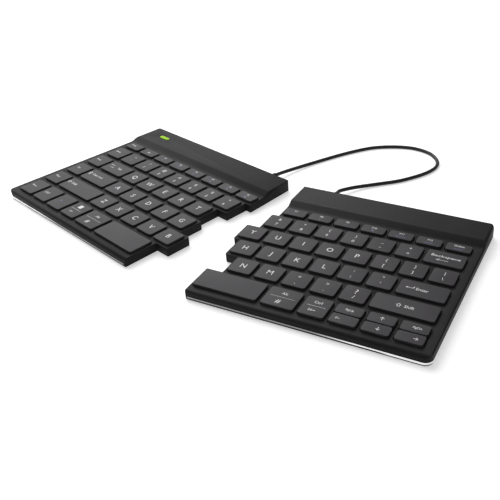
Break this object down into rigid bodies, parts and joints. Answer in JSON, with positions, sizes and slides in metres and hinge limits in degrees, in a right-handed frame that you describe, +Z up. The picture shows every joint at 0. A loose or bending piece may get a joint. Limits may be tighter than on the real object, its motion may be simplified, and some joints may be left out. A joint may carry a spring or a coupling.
{
  "type": "split keyboard",
  "caption": "Low split keyboard: two thin stepped halves with square keys, a raised bar along each rear edge and a bright trim line, joined by one short loose cord.",
  "frame": {"origin": "on the desk, at the middle of the box round the two halves without the cord", "axes": "+X to the typist's right, +Y away from the typist towards the rear bars, +Z up"},
  "size_m": [0.3586, 0.2631, 0.01],
  "materials": {
    "case_black": "fine matte black",
    "key_grey": "fine grained charcoal with pale printed legends",
    "trim_chrome": "bright polished",
    "plate_steel": "plain sheet",
    "membrane_film": "printed film",
    "dome_rubber": "translucent silicone",
    "lever_plastic": "moulded",
    "black_rubber": "matte",
    "board_green": "solder mask",
    "lens_green": "smooth translucent",
    "battery_foil": "silver film pouch",
    "switch_grey": "moulded"
  },
  "bodies": {
    "right_half": {"right_top_case": "case_black", "right_bottom_cover": "case_black", "right_trim_strip": "trim_chrome", "right_support_plate": "plate_steel", "right_membrane": "membrane_film", "right_dome_sheet": "dome_rubber", "right_scissors": "lever_plastic", "right_feet": "black_rubber", "right_screws": "plate_steel", "right_circuit_board": "board_green", "right_cord_boot": "black_rubber", "link_cord": "black_rubber"},
    "left_half": {"left_top_case": "case_black", "left_bottom_cover": "case_black", "left_trim_strip": "trim_chrome", "left_support_plate": "plate_steel", "left_membrane": "membrane_film", "left_dome_sheet": "dome_rubber", "left_scissors": "lever_plastic", "left_feet": "black_rubber", "left_screws": "plate_steel", "left_circuit_board": "board_green", "left_cord_boot": "black_rubber", "indicator_lens": "lens_green", "battery": "battery_foil", "charging_socket": "plate_steel"},
    "power_switch": {"power_switch": "switch_grey"},
    "left_column_keys": {"left_column_keys": "key_grey"},
    "left_function_keys": {"left_function_keys": "key_grey"},
    "left_number_keys": {"left_number_keys": "key_grey"},
    "tab_key": {"tab_key": "key_grey"},
    "left_upper_keys": {"left_upper_keys": "key_grey"},
    "caps_lock_key": {"caps_lock_key": "key_grey"},
    "left_home_keys": {"left_home_keys": "key_grey"},
    "left_shift_key": {"left_shift_key": "key_grey"},
    "left_lower_keys": {"left_lower_keys": "key_grey"},
    "left_control_key": {"left_control_key": "key_grey"},
    "function_shift_key": {"function_shift_key": "key_grey"},
    "system_key": {"system_key": "key_grey"},
    "left_alt_key": {"left_alt_key": "key_grey"},
    "left_space_key": {"left_space_key": "key_grey"},
    "right_function_keys": {"right_function_keys": "key_grey"},
    "delete_key": {"delete_key": "key_grey"},
    "right_number_keys": {"right_number_keys": "key_grey"},
    "backspace_key": {"backspace_key": "key_grey"},
    "right_upper_keys": {"right_upper_keys": "key_grey"},
    "backslash_key": {"backslash_key": "key_grey"},
    "right_home_keys": {"right_home_keys": "key_grey"},
    "enter_key": {"enter_key": "key_grey"},
    "right_lower_keys": {"right_lower_keys": "key_grey"},
    "right_shift_key": {"right_shift_key": "key_grey"},
    "right_space_key": {"right_space_key": "key_grey"},
    "right_alt_key": {"right_alt_key": "key_grey"},
    "right_control_key": {"right_control_key": "key_grey"},
    "page_up_key": {"page_up_key": "key_grey"},
    "left_arrow_key": {"left_arrow_key": "key_grey"},
    "up_arrow_key": {"up_arrow_key": "key_grey"},
    "down_arrow_key": {"down_arrow_key": "key_grey"},
    "page_down_key": {"page_down_key": "key_grey"},
    "right_arrow_key": {"right_arrow_key": "key_grey"}
  },
  "joints": [
    {"name": "splay", "type": "hinge", "parent": "right_half", "child": "left_half", "pos_m": [0.015, 0.109, 0], "axis": [0, 0, 1], "range_deg": [-12, 10], "deforming": ["link_cord"]},
    {"name": "power_slide", "type": "slide", "parent": "left_half", "child": "power_switch", "axis": [0.989, -0.1478, 0], "range_m": [0, 0.002]},
    {"name": "left_column_press", "type": "slide", "parent": "left_half", "child": "left_column_keys", "axis": [0, 0, -1], "range_m": [0, 0.0015], "stiffness_N_per_m": 900, "springref_m": -0.002, "deforming": ["left_dome_sheet", "left_scissors"]},
    {"name": "left_function_press", "type": "slide", "parent": "left_half", "child": "left_function_keys", "axis": [0, 0, -1], "range_m": [0, 0.0015], "stiffness_N_per_m": 1050, "springref_m": -0.002},
    {"name": "left_number_press", "type": "slide", "parent": "left_half", "child": "left_number_keys", "axis": [0, 0, -1], "range_m": [0, 0.0015], "stiffness_N_per_m": 1050, "springref_m": -0.002},
    {"name": "tab_press", "type": "slide", "parent": "left_half", "child": "tab_key", "axis": [0, 0, -1], "range_m": [0, 0.0015], "stiffness_N_per_m": 150, "springref_m": -0.002},
    {"name": "left_upper_press", "type": "slide", "parent": "left_half", "child": "left_upper_keys", "axis": [0, 0, -1], "range_m": [0, 0.0015], "stiffness_N_per_m": 750, "springref_m": -0.002},
    {"name": "caps_lock_press", "type": "slide", "parent": "left_half", "child": "caps_lock_key", "axis": [0, 0, -1], "range_m": [0, 0.0015], "stiffness_N_per_m": 150, "springref_m": -0.002},
    {"name": "left_home_press", "type": "slide", "parent": "left_half", "child": "left_home_keys", "axis": [0, 0, -1], "range_m": [0, 0.0015], "stiffness_N_per_m": 750, "springref_m": -0.002},
    {"name": "left_shift_press", "type": "slide", "parent": "left_half", "child": "left_shift_key", "axis": [0, 0, -1], "range_m": [0, 0.0015], "stiffness_N_per_m": 150, "springref_m": -0.002},
    {"name": "left_lower_press", "type": "slide", "parent": "left_half", "child": "left_lower_keys", "axis": [0, 0, -1], "range_m": [0, 0.0015], "stiffness_N_per_m": 750, "springref_m": -0.002},
    {"name": "left_control_press", "type": "slide", "parent": "left_half", "child": "left_control_key", "axis": [0, 0, -1], "range_m": [0, 0.0015], "stiffness_N_per_m": 150, "springref_m": -0.002},
    {"name": "function_shift_press", "type": "slide", "parent": "left_half", "child": "function_shift_key", "axis": [0, 0, -1], "range_m": [0, 0.0015], "stiffness_N_per_m": 150, "springref_m": -0.002},
    {"name": "system_press", "type": "slide", "parent": "left_half", "child": "system_key", "axis": [0, 0, -1], "range_m": [0, 0.0015], "stiffness_N_per_m": 150, "springref_m": -0.002},
    {"name": "left_alt_press", "type": "slide", "parent": "left_half", "child": "left_alt_key", "axis": [0, 0, -1], "range_m": [0, 0.0015], "stiffness_N_per_m": 150, "springref_m": -0.002},
    {"name": "left_space_press", "type": "slide", "parent": "left_half", "child": "left_space_key", "axis": [0, 0, -1], "range_m": [0, 0.0015], "stiffness_N_per_m": 150, "springref_m": -0.002},
    {"name": "right_function_press", "type": "slide", "parent": "right_half", "child": "right_function_keys", "axis": [0, 0, -1], "range_m": [0, 0.0015], "stiffness_N_per_m": 900, "springref_m": -0.002, "deforming": ["right_dome_sheet", "right_scissors"]},
    {"name": "delete_press", "type": "slide", "parent": "right_half", "child": "delete_key", "axis": [0, 0, -1], "range_m": [0, 0.0015], "stiffness_N_per_m": 150, "springref_m": -0.002},
    {"name": "right_number_press", "type": "slide", "parent": "right_half", "child": "right_number_keys", "axis": [0, 0, -1], "range_m": [0, 0.0015], "stiffness_N_per_m": 900, "springref_m": -0.002},
    {"name": "backspace_press", "type": "slide", "parent": "right_half", "child": "backspace_key", "axis": [0, 0, -1], "range_m": [0, 0.0015], "stiffness_N_per_m": 150, "springref_m": -0.002},
    {"name": "right_upper_press", "type": "slide", "parent": "right_half", "child": "right_upper_keys", "axis": [0, 0, -1], "range_m": [0, 0.0015], "stiffness_N_per_m": 1050, "springref_m": -0.002},
    {"name": "backslash_press", "type": "slide", "parent": "right_half", "child": "backslash_key", "axis": [0, 0, -1], "range_m": [0, 0.0015], "stiffness_N_per_m": 150, "springref_m": -0.002},
    {"name": "right_home_press", "type": "slide", "parent": "right_half", "child": "right_home_keys", "axis": [0, 0, -1], "range_m": [0, 0.0015], "stiffness_N_per_m": 900, "springref_m": -0.002},
    {"name": "enter_press", "type": "slide", "parent": "right_half", "child": "enter_key", "axis": [0, 0, -1], "range_m": [0, 0.0015], "stiffness_N_per_m": 150, "springref_m": -0.002},
    {"name": "right_lower_press", "type": "slide", "parent": "right_half", "child": "right_lower_keys", "axis": [0, 0, -1], "range_m": [0, 0.0015], "stiffness_N_per_m": 750, "springref_m": -0.002},
    {"name": "right_shift_press", "type": "slide", "parent": "right_half", "child": "right_shift_key", "axis": [0, 0, -1], "range_m": [0, 0.0015], "stiffness_N_per_m": 150, "springref_m": -0.002},
    {"name": "right_space_press", "type": "slide", "parent": "right_half", "child": "right_space_key", "axis": [0, 0, -1], "range_m": [0, 0.0015], "stiffness_N_per_m": 150, "springref_m": -0.002},
    {"name": "right_alt_press", "type": "slide", "parent": "right_half", "child": "right_alt_key", "axis": [0, 0, -1], "range_m": [0, 0.0015], "stiffness_N_per_m": 150, "springref_m": -0.002},
    {"name": "right_control_press", "type": "slide", "parent": "right_half", "child": "right_control_key", "axis": [0, 0, -1], "range_m": [0, 0.0015], "stiffness_N_per_m": 150, "springref_m": -0.002},
    {"name": "page_up_press", "type": "slide", "parent": "right_half", "child": "page_up_key", "axis": [0, 0, -1], "range_m": [0, 0.0015], "stiffness_N_per_m": 150, "springref_m": -0.002},
    {"name": "left_arrow_press", "type": "slide", "parent": "right_half", "child": "left_arrow_key", "axis": [0, 0, -1], "range_m": [0, 0.0015], "stiffness_N_per_m": 150, "springref_m": -0.002},
    {"name": "up_arrow_press", "type": "slide", "parent": "right_half", "child": "up_arrow_key", "axis": [0, 0, -1], "range_m": [0, 0.0015], "stiffness_N_per_m": 150, "springref_m": -0.002},
    {"name": "down_arrow_press", "type": "slide", "parent": "right_half", "child": "down_arrow_key", "axis": [0, 0, -1], "range_m": [0, 0.0015], "stiffness_N_per_m": 150, "springref_m": -0.002},
    {"name": "page_down_press", "type": "slide", "parent": "right_half", "child": "page_down_key", "axis": [0, 0, -1], "range_m": [0, 0.0015], "stiffness_N_per_m": 150, "springref_m": -0.002},
    {"name": "right_arrow_press", "type": "slide", "parent": "right_half", "child": "right_arrow_key", "axis": [0, 0, -1], "range_m": [0, 0.0015], "stiffness_N_per_m": 150, "springref_m": -0.002}
  ]
}
